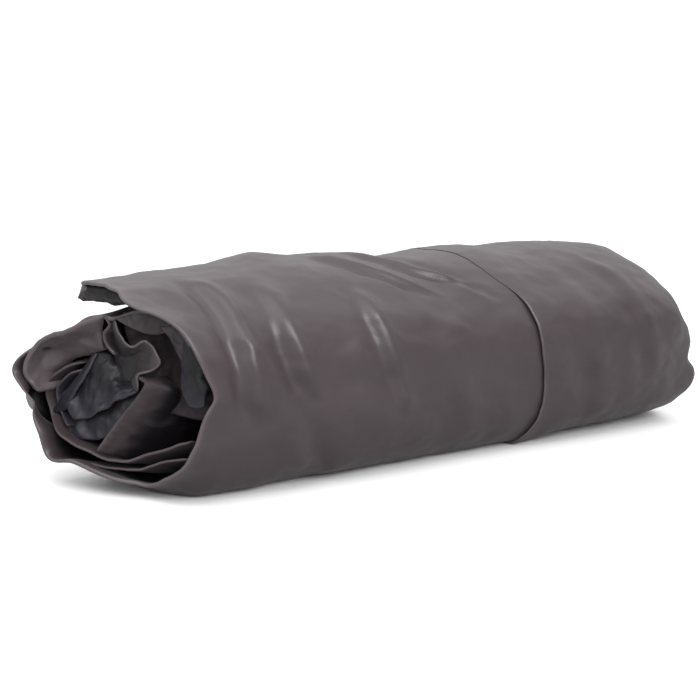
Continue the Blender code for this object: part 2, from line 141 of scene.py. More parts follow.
# The overlap's edge in profile: (distance from the edge, how far out) pairs.
LAP = np.array([(0.014, -0.0012), (0.004, -0.0010), (0.0, 0.0004), (-0.0012, 0.0016),
                (0.0, 0.0030), (0.0022, 0.0038)])
LAP_OUT = 0.0030  # the overlapping panel lies this far out
LEFT_OUT = -0.001  # and the panel under it this far
FLAT_IN = 0.0009  # flattened, it lies this far in, just over the panel under it
HEM_LAP = 0.0009  # the hem stands this much higher over the overlapping panel
UNDERLAP = 0.045  # how far the left panel goes on under the overlap
LIES_FLAT = (24.0, 18.0)  # the overlap flattens from this phase on, over this many degrees
RIM_TURNED_IN = 0.13  # how deep the mouth's rim goes on inside
FAR_TURNED_IN = 0.05  # and how deep the far rim does
TURNED_ROWS = 24  # points along a rim that is turned in

# Creases of the last turn: (phase, place along the roll) points, width, height.
CREASES = [
    ([(-20, 0.082), (4, 0.072), (26, 0.066), (45, 0.060), (70, 0.040)], 0.0125, 0.0082),
    ([(-12, 0.150), (4, 0.139), (16, 0.131), (34, 0.123), (60, 0.112)], 0.0135, 0.0064),
    ([(-52, 0.190), (-30, 0.155), (-8, 0.138), (14, 0.112), (30, 0.100)], 0.018, -0.0062),
    ([(-25, 0.285), (-5, 0.268), (11, 0.256), (24, 0.248), (50, 0.232)], 0.0125, 0.0062),
    ([(36, 0.360), (52, 0.300), (70, 0.250), (90, 0.220)], 0.011, 0.0048),
    ([(40, 0.430), (55, 0.360), (75, 0.310), (95, 0.270)], 0.010, 0.0046),
    ([(30, 0.440), (50, 0.390), (75, 0.340), (95, 0.310)], 0.010, -0.0032),
    ([(-45, 0.400), (-20, 0.370), (10, 0.350), (30, 0.340)], 0.020, 0.0030),
    ([(-50, 0.620), (-20, 0.600), (15, 0.570), (50, 0.550)], 0.022, 0.0034),
    ([(-30, 0.710), (0, 0.690), (30, 0.660), (60, 0.620)], 0.017, 0.0032),
]

# Layers of the inner turns that show in the mouth. Each is a name, its material, its thickness,
# how creased it is, how much painted shade darkens it inwards, and guide lines from its free edge
# to deep inside, whose points are x from the left rim, y and z.
MOUTH_LAYERS = [
    ("roof_lining", "outer", 0.006, 0.0012, 0.0, [
      [(-0.045, -0.006, 0.202), (-0.070, 0.036, 0.183), (-0.091, 0.079, 0.162), (-0.099, 0.092, 0.132),
       (-0.085, 0.088, 0.108)],
      [(-0.040, 0.010, 0.186), (-0.052, 0.050, 0.170), (-0.070, 0.092, 0.152), (-0.086, 0.095, 0.130),
       (-0.070, 0.092, 0.108)],
      [(-0.033, 0.021, 0.165), (-0.034, 0.038, 0.159), (-0.055, 0.086, 0.144), (-0.073, 0.097, 0.130),
       (-0.055, 0.094, 0.110)],
      [(-0.010, 0.025, 0.190), (0.000, 0.055, 0.182), (-0.020, 0.084, 0.158), (-0.040, 0.096, 0.138),
       (-0.030, 0.097, 0.112)]]),
    ("wall_layer", "inner", 0.004, 0.0022, 0.5, [
      [(-0.020, -0.004, 0.197), (-0.017, -0.005, 0.176), (-0.011, -0.010, 0.158), (-0.010, -0.008, 0.137),
       (-0.006, -0.014, 0.120), (0.002, -0.022, 0.097)],
      [(0.003, -0.024, 0.199), (0.008, -0.025, 0.180), (0.014, -0.028, 0.159), (0.015, -0.029, 0.141),
       (0.014, -0.034, 0.120), (0.014, -0.044, 0.094)],
      [(0.018, -0.052, 0.196), (0.026, -0.056, 0.176), (0.031, -0.062, 0.156), (0.033, -0.066, 0.134),
       (0.032, -0.070, 0.112), (0.030, -0.074, 0.090)],
      [(0.036, -0.068, 0.196), (0.044, -0.076, 0.176), (0.049, -0.086, 0.156), (0.051, -0.092, 0.134),
       (0.050, -0.094, 0.112), (0.048, -0.094, 0.090)]]),
    ("second_turn_rim", "inner", 0.0035, 0.0010, 1.0, [
      [(-0.039, 0.061, 0.142), (-0.055, 0.072, 0.138), (-0.066, 0.084, 0.128), (-0.073, 0.095, 0.112),
       (-0.070, 0.091, 0.083), (-0.074, 0.066, 0.066), (-0.055, 0.022, 0.047), (-0.035, -0.008, 0.040),
       (-0.008, -0.047, 0.054), (0.013, -0.093, 0.072)],
      [(-0.005, 0.064, 0.150), (-0.020, 0.076, 0.144), (-0.030, 0.090, 0.132), (-0.036, 0.101, 0.112),
       (-0.034, 0.097, 0.080), (-0.036, 0.070, 0.058), (-0.018, 0.024, 0.040), (0.002, -0.008, 0.033),
       (0.030, -0.050, 0.046), (0.048, -0.098, 0.066)],
      [(0.090, 0.070, 0.160), (0.075, 0.084, 0.150), (0.068, 0.098, 0.134), (0.062, 0.106, 0.112),
       (0.064, 0.102, 0.078), (0.062, 0.074, 0.050), (0.080, 0.026, 0.034), (0.100, -0.010, 0.028),
       (0.128, -0.054, 0.040), (0.146, -0.103, 0.062)]]),
    ("second_turn_lining", "lining", 0.003, 0.0010, 0.6, [
      [(-0.030, 0.057, 0.136), (-0.048, 0.068, 0.131), (-0.058, 0.078, 0.122), (-0.064, 0.087, 0.110),
       (-0.062, 0.083, 0.085), (-0.064, 0.060, 0.071)],
      [(0.004, 0.060, 0.143), (-0.014, 0.071, 0.138), (-0.024, 0.083, 0.126), (-0.028, 0.092, 0.110),
       (-0.028, 0.088, 0.083), (-0.030, 0.063, 0.065)],
      [(0.090, 0.064, 0.150), (0.075, 0.076, 0.144), (0.068, 0.090, 0.130), (0.062, 0.098, 0.110),
       (0.062, 0.094, 0.080), (0.060, 0.066, 0.058)]]),
    ("low_fold", "inner", 0.003, 0.0008, 1.0, [
      [(-0.062, 0.040, 0.034), (-0.036, -0.001, 0.031), (-0.020, -0.031, 0.033), (-0.007, -0.057, 0.044),
       (0.008, -0.094, 0.054)],
      [(-0.020, 0.042, 0.026), (0.004, 0.000, 0.023), (0.020, -0.032, 0.025), (0.034, -0.060, 0.036),
       (0.048, -0.100, 0.048)],
      [(0.060, 0.042, 0.020), (0.084, 0.000, 0.017), (0.100, -0.032, 0.019), (0.114, -0.062, 0.032),
       (0.126, -0.104, 0.044)]]),
    ("left_leaf", "lining", 0.004, 0.0016, 0.6, [
      [(-0.060, 0.076, 0.086), (-0.056, 0.068, 0.100), (-0.049, 0.056, 0.119), (-0.042, 0.046, 0.138),
       (-0.035, 0.039, 0.155)],
      [(-0.068, 0.098, 0.078), (-0.062, 0.088, 0.094), (-0.052, 0.068, 0.118), (-0.041, 0.056, 0.136),
       (-0.031, 0.044, 0.157)],
      [(-0.020, 0.104, 0.074), (-0.016, 0.094, 0.092), (-0.010, 0.076, 0.118), (0.000, 0.064, 0.138),
       (0.006, 0.050, 0.160)]]),
    ("middle_leaf", "lining", 0.004, 0.0034, 0.6, [
      [(-0.059, 0.070, 0.093), (-0.056, 0.060, 0.081), (-0.044, 0.037, 0.086), (-0.024, 0.004, 0.107),
       (-0.011, -0.014, 0.115)],
      [(-0.046, 0.064, 0.117), (-0.038, 0.049, 0.117), (-0.030, 0.031, 0.117), (-0.019, 0.010, 0.121),
       (-0.008, -0.010, 0.116)],
      [(-0.033, 0.051, 0.147), (-0.030, 0.045, 0.157), (-0.024, 0.034, 0.146), (-0.017, 0.021, 0.132),
       (-0.006, -0.007, 0.117)],
      [(0.020, 0.060, 0.150), (0.022, 0.052, 0.160), (0.026, 0.040, 0.150), (0.030, 0.026, 0.136),
       (0.038, 0.000, 0.120)]]),
    ("low_leaf", "lining", 0.004, 0.0028, 0.8, [
      [(-0.061, 0.075, 0.063), (-0.048, 0.046, 0.058), (-0.037, 0.026, 0.061), (-0.025, 0.002, 0.085),
       (-0.011, -0.016, 0.112)],
      [(-0.054, 0.071, 0.077), (-0.040, 0.046, 0.080), (-0.031, 0.028, 0.090), (-0.019, 0.007, 0.104),
       (-0.009, -0.013, 0.113)],
      [(0.000, 0.076, 0.086), (0.010, 0.050, 0.090), (0.016, 0.034, 0.098), (0.024, 0.012, 0.110),
       (0.034, -0.008, 0.116)]]),
    ("top_fold", "outer", 0.004, 0.0008, 0.7, [
      [(-0.044, -0.006, 0.202), (-0.039, -0.005, 0.192), (-0.041, 0.005, 0.181), (-0.038, 0.007, 0.170),
       (-0.029, 0.003, 0.157)],
      [(-0.031, -0.001, 0.199), (-0.027, 0.003, 0.187), (-0.028, 0.012, 0.178), (-0.025, 0.014, 0.167),
       (-0.020, 0.012, 0.154)],
      [(0.010, 0.004, 0.204), (0.014, 0.010, 0.190), (0.014, 0.020, 0.182), (0.018, 0.022, 0.170),
       (0.022, 0.018, 0.158)]]),
    ("tongue", "outer", 0.0026, 0.0014, 1.0, [
      [(-0.038, -0.015, 0.198), (-0.030, -0.021, 0.175), (-0.025, -0.028, 0.169), (-0.014, -0.042, 0.176),
       (-0.007, -0.050, 0.166), (-0.004, -0.053, 0.153), (-0.007, -0.047, 0.146), (-0.018, -0.030, 0.139),
       (-0.016, -0.022, 0.118)],
      [(-0.034, 0.005, 0.189), (-0.025, 0.004, 0.166), (-0.015, -0.002, 0.157), (-0.011, -0.012, 0.158),
       (-0.011, -0.015, 0.149), (-0.012, -0.014, 0.142), (-0.013, -0.011, 0.135), (-0.014, -0.007, 0.127),
       (-0.012, -0.007, 0.115)],
      [(-0.032, 0.020, 0.181), (-0.026, 0.028, 0.165), (-0.021, 0.027, 0.156), (-0.019, 0.024, 0.147),
       (-0.017, 0.020, 0.138), (-0.016, 0.017, 0.132), (-0.014, 0.013, 0.126), (-0.011, 0.008, 0.121),
       (-0.007, 0.000, 0.112)],
      [(0.010, 0.026, 0.182), (0.016, 0.034, 0.168), (0.020, 0.034, 0.158), (0.022, 0.030, 0.149),
       (0.024, 0.026, 0.140), (0.026, 0.023, 0.133), (0.028, 0.019, 0.127), (0.030, 0.013, 0.122),
       (0.034, 0.004, 0.114)]]),
    ("band", "inner", 0.005, 0.0020, 1.0, [
      [(-0.016, -0.025, 0.137), (-0.014, -0.041, 0.130), (-0.018, -0.032, 0.116), (-0.033, -0.012, 0.086),
       (-0.051, 0.010, 0.050)],
      [(-0.004, -0.034, 0.134), (0.007, -0.057, 0.123), (0.002, -0.044, 0.099), (-0.013, -0.017, 0.067),
       (-0.030, 0.004, 0.042)],
      [(0.013, -0.027, 0.134), (0.023, -0.047, 0.115), (0.025, -0.041, 0.087), (0.014, -0.020, 0.058),
       (-0.007, 0.001, 0.037)],
      [(0.070, -0.022, 0.136), (0.080, -0.050, 0.114), (0.082, -0.046, 0.084), (0.072, -0.026, 0.054),
       (0.050, -0.004, 0.034)]]),
    ("right_flap", "lining", 0.003, 0.0018, 1.0, [
      [(0.011, -0.084, 0.183), (0.013, -0.076, 0.158), (0.014, -0.074, 0.122), (0.017, -0.087, 0.109),
       (0.021, -0.105, 0.112)],
      [(0.009, -0.087, 0.187), (0.015, -0.092, 0.170), (0.020, -0.098, 0.152), (0.022, -0.101, 0.134),
       (0.024, -0.103, 0.121)],
      [(0.060, -0.084, 0.184), (0.066, -0.092, 0.168), (0.070, -0.096, 0.150), (0.072, -0.098, 0.133),
       (0.074, -0.098, 0.120)]]),
    ("right_layer", "outer", 0.003, 0.0016, 0.8, [
      [(-0.002, -0.056, 0.193), (0.004, -0.060, 0.185), (0.011, -0.065, 0.168), (0.017, -0.073, 0.149),
       (0.018, -0.067, 0.129)],
      [(0.004, -0.066, 0.195), (0.009, -0.077, 0.187), (0.016, -0.085, 0.172), (0.021, -0.095, 0.150),
       (0.022, -0.096, 0.130)],
      [(0.060, -0.058, 0.192), (0.064, -0.070, 0.184), (0.070, -0.080, 0.170), (0.074, -0.088, 0.148),
       (0.076, -0.088, 0.128)]]),
    ("shoulder_layer", "outer", 0.003, 0.0016, 0.8, [
      [(-0.035, -0.017, 0.200), (-0.029, -0.021, 0.195), (-0.019, -0.027, 0.189), (-0.004, -0.040, 0.183),
       (0.002, -0.060, 0.188)],
      [(-0.027, -0.016, 0.205), (-0.018, -0.025, 0.208), (-0.010, -0.034, 0.205), (-0.002, -0.048, 0.200),
       (0.003, -0.064, 0.193)],
      [(0.030, -0.012, 0.210), (0.040, -0.024, 0.212), (0.046, -0.036, 0.210), (0.054, -0.052, 0.206),
       (0.060, -0.072, 0.198)]]),
]

# How pale the folded edges get, partly rubbed coat and partly a painted highlight: on any layer's folded
# edge and on some edges; and a painted lightening over whole faces that get little light.
RUBBED_AND_HIGHLIT_EDGE = 0.45
RUBBED_AND_HIGHLIT_EDGES = {"tongue": 1.0}
FACES_PAINTED_LIGHTER = {"roof_lining": 0.7}

CORE_HALF = 0.0085  # half the thickness of the core's quilted layer
CORE_ROWS = 420
CORE_END_STEPS = 9            # points round each of its edges
CORE_RUN = [0.03, 0.08, 0.20]  # points between its edges, in metres from the near one

CAMERA_PLACE = (-0.969, -1.281, 0.382)
CAMERA_HEADING = 55.0  # degrees from x towards y
CAMERA_PITCH = 9.0  # degrees downwards
CAMERA_LENS = 65.8


# ---- small helpers -------------------------------------------------------------------------
def linear(code):
    """Turns an sRGB hex colour into linear values."""
    parts = [int(code[i:i + 2], 16) / 255 for i in (1, 3, 5)]
    return tuple(c / 12.92 if c <= 0.04045 else ((c + 0.055) / 1.055) ** 2.4 for c in parts) + (1.0,)


def smooth(t):
    """Eases from 0 to 1."""
    t = np.clip(t, 0.0, 1.0)
    return t * t * (3.0 - 2.0 * t)


def through(x, points):
    """A smooth curve through (x, value) points, level beyond its ends."""
    xs = np.array([p[0] for p in points], float)
    ys = np.array([p[1] for p in points], float)
    slope = np.gradient(ys, xs)
    k = np.clip(np.searchsorted(xs, x) - 1, 0, len(xs) - 2)
    span = xs[k + 1] - xs[k]
    t = np.clip((x - xs[k]) / span, 0.0, 1.0)
    near = (2 * t**3 - 3 * t**2 + 1) * ys[k] + (t**3 - 2 * t**2 + t) * slope[k] * span
    return near + (-2 * t**3 + 3 * t**2) * ys[k + 1] + (t**3 - t**2) * slope[k + 1] * span


def curve_points(points, count):
    """Evenly spread points of a smooth curve through the given ones."""
    points = np.array(points, float)
    steps = np.maximum(np.linalg.norm(np.diff(points, axis=0), axis=1), 1e-4)
    along = np.concatenate([[0.0], np.cumsum(steps)])
    at = np.linspace(0.0, along[-1], count)
    return np.stack([through(at, list(zip(along, points[:, k]))) for k in range(3)], axis=1)


def field(points, size, seed, octaves=3):
    """Soft noise from -1 to 1 at each point, with features about size metres across."""
    shift = Vector((seed * 7.3, seed * 3.1, seed * 5.7))
    flat = np.asarray(points).reshape(-1, 3)
    values = [noise.fractal(Vector(p) / size + shift, 0.9, 2.0, octaves) for p in flat]
    return np.array(values).reshape(np.asarray(points).shape[:-1])


def crinkles(points, size, seed):
    """Sharp-topped folds, as a stiff coated fabric takes, from about -0.5 to 0.5."""
    return 0.5 - 1.6 * np.abs(field(points, size, seed, 2))


def edge_dip(distance, reach):
    """Goes from 0 at an edge to 1 at reach along a quarter circle, as a stuffed edge does."""
    t = 1.0 - np.clip(distance / reach, 0.0, 1.0)
    return np.sqrt(np.maximum(1.0 - t * t, 0.0))


def grid_object(name, columns, rows, place, closed=False, wear_and_highlight=None, inner=None):
    """A grid whose points a function places from their column and row numbers."""
    bm = bmesh.new()
    bmesh.ops.create_grid(bm, x_segments=columns - 1, y_segments=rows - 1, size=0.5)
    flat = np.array([v.co[:] for v in bm.verts])
    column = np.rint((flat[:, 0] + 0.5) * (columns - 1)).astype(int)
    row = np.rint((flat[:, 1] + 0.5) * (rows - 1)).astype(int)
    points = place(column, row)
    nowhere = np.zeros(len(points))
    # The first layer holds pale folded edges, partly wear and partly painted highlight; the second holds
    # painted shade on faces turned inwards.
    layers = [bm.verts.layers.float.new("worn_and_highlit_edge"), bm.verts.layers.float.new("painted_inner_shade")]
    amounts = [nowhere if given is None else given(column, row) for given in (wear_and_highlight, inner)]
    for vert, point, edge, inside in zip(bm.verts, points, *amounts):
        vert.co = point
        vert[layers[0]] = edge
        vert[layers[1]] = inside
    if closed:
        bmesh.ops.remove_doubles(bm, verts=bm.verts, dist=1e-5)
        bmesh.ops.recalc_face_normals(bm, faces=bm.faces)
    else:
        axis = Vector((0.0, AXIS_Y, AXIS_Z))
        away = 0.0
        for face in bm.faces:
            out = face.calc_center_median() - axis
            away += face.calc_area() * face.normal.dot(Vector((0.0, out.y, out.z)))
        if away < 0.0:
            bmesh.ops.reverse_faces(bm, faces=bm.faces)
    mesh = bpy.data.meshes.new(name)
    bm.to_mesh(mesh)
    bm.free()
    mesh.shade_smooth()
    made = bpy.data.objects.new(name, mesh)
    bpy.context.scene.collection.objects.link(made)
    return made


def sizes():
    """The sizes that the panel sets."""
    return bpy.context.scene.blanket_sizes


def colours():
    """The colours that the panel sets."""
    return bpy.context.scene.blanket_colours


# ---- shape of the turns --------------------------------------------------------------------
def mouth_rim(phase):
    """How far along the roll its left rim lies."""
    return through(phase, [(p, x) for p, x, _ in MOUTH_RIM])


def mouth_radius(phase):
    """How far from the axis the left rim lies."""
    return through(phase, [(p, r) for p, _, r in MOUTH_RIM])


def outline(phase, x):
    """Distance of a turn's smooth outside from the roll's axis."""
    angle = np.radians(phase)
    up = np.sin(angle)
    amount, middle, reach = LOW_WIDER
    half_wide = HALF_WIDE + amount * np.exp(-(((x - middle) / reach) ** 2)) * smooth(-3.0 * up)
    tall = np.where(up > 0, through(x, TOP_PROFILE) - TOP_SINKS, HALF_TALL_BELOW)
    power = 2.0 + SQUARER_BELOW * smooth(-up * 1.3)
    flat = (np.abs(np.cos(angle)) / half_wide) ** power + (np.abs(up) / tall) ** power
    return flat ** (-1.0 / power) * growth(phase)


def growth(phase):
    """How the roll's radius grows with each turn, 1 at the front of the last one."""
    return 1.0 + PITCH_SHARE * phase / 360.0


def far_rounding(x, phase):
    """Share of the radius that is left as the far end draws in."""
    start = through(phase, FAR_STARTS)
    t = np.clip((x - start) / (FAR_END - start), 0.0, 1.1)
    return 1.0 - through(phase, FAR_DRAWN) * t**2.4


def creases(x, phase):
    """The folds of the last turn, in metres outwards: a bump on one flank, a hollow on the other."""
    lift = np.zeros_like(x)
    for points, width, height in CREASES:
        fade = smooth((phase - points[0][0]) / 14.0) * smooth((points[-1][0] - phase) / 14.0)
        off = (x - through(phase, points)) / width
        lift += height * fade * (np.exp(-off * off) - 0.55 * np.exp(-((off + 1.5) ** 2)))
    return lift


def wrap_points(x, phase, out):
    """Points of the last turn: x along the roll, phase round it, out from its outside."""
    angle = np.radians(phase)
    deep = outline(phase, x) * far_rounding(x, phase)
    inside = smooth((x - mouth_rim(phase)) / through(phase, RIM_REACH))
    radius = deep * inside + mouth_radius(phase) * (1.0 - inside)
    radius = radius + creases(x, phase) + crumples(x, phase, radius) + out
    y = AXIS_Y - radius * np.cos(angle)
    z = AXIS_Z + radius * np.sin(angle)
    lift, start, length = FAR_LIFT
    z = z + lift * smooth((x - start) / length) * smooth(-np.sin(angle))
    return np.stack([x + RIM_X, y, rest_on_floor(z)], axis=-1)


def crumples(x, phase, radius):
    """Soft waves and sharp folds where the fabric is loose, which it isn't underneath."""
    angle = np.radians(phase)
    place = np.stack([x, -radius * np.cos(angle), radius * np.sin(angle)], axis=-1)
    slanted = place + np.stack([0.35 * place[..., 2] - 0.2 * x, 0.0 * x, 0.0 * x], axis=-1)
    loose = smooth((phase + 95.0) / 30.0) + 0.8 * smooth((-100.0 - phase) / 30.0)
    waves = 0.0035 * field(place, 0.16, 1, 2) + sizes().crumple * field(slanted, 0.055, 2, 3)
    return loose * (waves + 0.6 * sizes().crumple * crinkles(slanted, 0.075, 5))


def rest_on_floor(z):
    """Flattens what would hang under the floor to just over it."""
    contact = 0.004
    lowest = 0.0006
    soft = contact - lowest
    return np.where(z < contact, lowest + soft * np.exp((z - contact) / soft), z)


def turned_edge(radius, inside):
    """Profile from inside a turn, round its rim at 0 and out: (distance inwards, out) pairs."""
    deep = [(inside + radius - inside * k / TURNED_ROWS, -2.0 * radius) for k in range(TURNED_ROWS)]
    bend = [(radius - radius * math.cos(a), -radius + radius * math.sin(a))
            for a in np.linspace(-math.pi / 2, math.pi / 2, ROUND_STEPS)]
    return np.array(deep + bend)


# ---- panels of the last turn ---------------------------------------------------------------
def far_wobble(phase):
    """Unevenness of the far rim, calm where the socket sits in it."""
    angle = np.radians(phase)
    place = np.stack([phase / 900.0, 0.12 * np.cos(angle), 0.12 * np.sin(angle)], axis=-1)
    calm = 1.0 - np.exp(-(((phase - SOCKET_PHASE) / 28.0) ** 4))
    return calm * (0.006 * field(place, 0.060, 31, 1) + 0.004 * field(place, 0.022, 33, 1))


def left_panel(name, first, last, rows, columns):
    """The underlying front panel, or the same stretch of the back, with its rim turned in."""
    turned = turned_edge(sizes().layer / 2.0, RIM_TURNED_IN)
    spread = np.linspace(0.0, 1.0, columns + 1)[1:]

    def profile(column, row):
        phase = first + (last - first) * row / (rows - 1)
        rim = mouth_rim(phase)
        stop = through(phase, OVERLAP_EDGE) + UNDERLAP
        edge = np.clip(column, 0, len(turned) - 1)
        start = turned[-1, 0]
        beyond = spread[np.clip(column - len(turned), 0, columns - 1)]
        x = np.where(column < len(turned), rim + turned[edge, 0],
                     rim + start + (stop - rim - start) * beyond)
        out = np.where(column < len(turned), turned[edge, 1], 0.0)
        return x, phase, out + LEFT_OUT

    def place(column, row):
        return wrap_points(*profile(column, row))

    # Painted highlight on the mouth's rim, with some wear: the rim's folded edge is paler.
    def wear_and_highlight(column, row):
        x, phase, _ = profile(column, row)
        near_rim = np.abs(column - len(turned) + 3) < 6
        return 0.7 * np.exp(-(x - mouth_rim(phase)) / 0.003) * near_rim

    # Painted shade on the rim's turned-in inner side.
    def inner(column, row):
        return smooth((len(turned) - 5 - column) / 8.0)

    return grid_object(name, len(turned) + columns, rows, place, wear_and_highlight=wear_and_highlight, inner=inner)


def flattened(phase):
    """How flat the overlap lies: 0 at the front, where its step stands, and 1 on top."""
    start, length = LIES_FLAT
    return smooth((phase - start) / length)


def right_panel(name, first, last, rows, columns):
    """The overlapping front panel, or the back's other half, with its far edge puffed over."""
    puff = sizes().puff
    turned = turned_edge(puff, FAR_TURNED_IN)[::-1]
    spread = np.linspace(0.0, 1.0, columns + 2)[1:-1]

    def profile(column, row):
        phase = first + (last - first) * row / (rows - 1)
        edge = through(phase, OVERLAP_EDGE)
        rim = through(phase, FAR_RIM) + far_wobble(phase)
        lap_at = np.clip(column, 0, len(LAP) - 1)
        far_at = np.clip(column - len(LAP) - columns, 0, len(turned) - 1)
        middle = spread[np.clip(column - len(LAP), 0, columns - 1)]
        start = edge + LAP[-1, 0]
        stop = rim - puff
        step = 1.0 - 0.92 * flattened(phase)
        lip = 0.0018 * np.exp(-(middle * (stop - start)) / 0.010) * (0.6 + 0.4 * np.sin(phase * 0.11))
        x = np.where(column < len(LAP), edge + LAP[lap_at, 0], start + (stop - start) * middle)
        out = np.where(column < len(LAP), LAP[lap_at, 1] + lip, LAP_OUT + lip)
        out = np.where(out > -FLAT_IN, -FLAT_IN + (out + FLAT_IN) * step, out)
        far = column >= len(LAP) + columns
        x = np.where(far, rim - turned[far_at, 0], x)
        out = np.where(far, turned[far_at, 1] + (LAP_OUT + FLAT_IN) * step - FLAT_IN, out)
        return x, phase, out

    def place(column, row):
        return wrap_points(*profile(column, row))

    # Painted highlight along the overlap's edge, where its rolled edge catches light, with some wear; it
    # fades where the overlap lies flat.
    def wear_and_highlight(column, row):
        phase = first + (last - first) * row / (rows - 1)
        on_edge = (column >= 3) & (column <= 4)
        return 0.5 * on_edge * (1.0 - flattened(phase))

    return grid_object(name, len(LAP) + len(turned) + columns, rows, place, wear_and_highlight=wear_and_highlight)


def foot_pad(name, first, last, rows, columns, inner, outer, wedge, short=0.0):
    """A closed pad along the foot between two depths, rounded at its ends and its free edge.

    The wedge thins its start at the mouth's rim and paints shade over the whole pad by its amount; short
    is how many degrees less it reaches there.
    """
    phase_steps = np.array(list(range(rows)) + list(range(rows - 1, -1, -1)))

    def place(column, row):
        under = row >= rows
        share = column / (columns - 1)
        stop = last - short * (1.0 - smooth(share / 0.16))
        phase = first + (stop - first) * phase_steps[row] / (rows - 1)
        low = mouth_rim(phase) + 0.001
        high = through(phase, FAR_RIM) - 0.004
        x = low + (high - low) * share
        lap = HEM_LAP * smooth((x - through(phase, OVERLAP_EDGE)) / 0.004)
        at_rim = 1.0 - smooth((x - low) / 0.14)
        full = edge_dip(np.minimum(x - low, high - x), 0.011 - 0.007 * at_rim)
        full = full * edge_dip((stop - phase) * ALONG_DEGREE,
                               0.003 + (0.008 + 0.022 * at_rim) * (1.0 - wedge))
        full = full * edge_dip((phase - first) * ALONG_DEGREE, 0.003)
        half = (outer - inner) / 2.0 * (1.0 - wedge * at_rim * (1.0 - smooth((phase - first) / 22.0)))
        middle = outer - half
        half = half * full
        return wrap_points(x, phase, np.where(under, middle - half, middle + half + lap * full))

    # Painted shade on the pad's underside, and over the whole pad by the wedge's amount.
    def underneath(column, row):
        below = (row > rows) & (row < 2 * rows - 1) & (column > 0) & (column < columns - 1)
        return np.maximum(wedge, 0.9 * below)

    return grid_object(name, columns, 2 * rows, place, closed=True, inner=underneath)


# ---- layers in the mouth and the far end ---------------------------------------------------
def folded_layer(name, thickness, creased, guides, seed, painted_shade, across=72, deep=34):
    """A soft layer whose free edge is the first guide line, running deep through the others."""
    lines = np.array([curve_points(guide, across) for guide in guides])
    middle = np.array([curve_points(lines[:, i], deep) for i in range(across)])
    middle[..., 0] += RIM_X
    along = np.gradient(middle, axis=0)
    inwards = np.gradient(middle, axis=1)
    normal = np.cross(along, inwards)
    normal /= np.linalg.norm(normal, axis=-1, keepdims=True)
    wave = 1.3 * crinkles(middle, 0.034, seed) + 0.6 * field(middle, 0.012, seed + 3, 2)
    middle = middle + normal * (creased * wave)[..., None]
    away = -inwards[:, 0] / np.linalg.norm(inwards[:, 0], axis=-1, keepdims=True)
    ends = edge_dip(np.minimum(np.arange(across), across - 1 - np.arange(across)) / (across - 1), 0.06)
    closing = np.minimum(1.0, (deep - 1 - np.arange(deep)) / 3.0)
    half = thickness / 2.0
    bend = np.linspace(math.pi / 2, -math.pi / 2, ROUND_STEPS)[1:-1]
    rows = 2 * deep + len(bend)

    def place(column, row):
        side = np.where(row < deep, 1.0, -1.0)
        depth = np.where(row < deep, deep - 1 - row, row - deep - len(bend))
        bent = (row >= deep) & (row < deep + len(bend))
        depth = np.clip(np.where(bent, 0, depth), 0, deep - 1)
        angle = bend[np.clip(row - deep, 0, len(bend) - 1)]
        size = half * ends[column] * closing[depth]
        lean = (np.where(bent, np.sin(angle), side) * size)[:, None]
        reach = (np.where(bent, np.cos(angle), 0.0) * size)[:, None]
        return middle[column, depth] + normal[column, depth] * lean + away[column] * reach

    def from_fold(row):
        return np.abs(row - deep - len(bend) / 2.0)

    # Paler folded edge, partly wear and partly painted highlight; some faces are painted lighter all over
    # where they get little light.
    def wear_and_highlight(column, row):
        edge = RUBBED_AND_HIGHLIT_EDGES.get(name, RUBBED_AND_HIGHLIT_EDGE) * np.exp(-((from_fold(row) / 2.2) ** 2))
        return np.maximum(edge, FACES_PAINTED_LIGHTER.get(name, 0.0))

    # Painted shade: darker deeper in from the folded edge, by the layer's shade amount.
    def inner(column, row):
        return painted_shade * smooth((from_fold(row) / deep - 0.06) / 0.40)

    return grid_object(name, across, rows, place, closed=True, wear_and_highlight=wear_and_highlight, inner=inner)


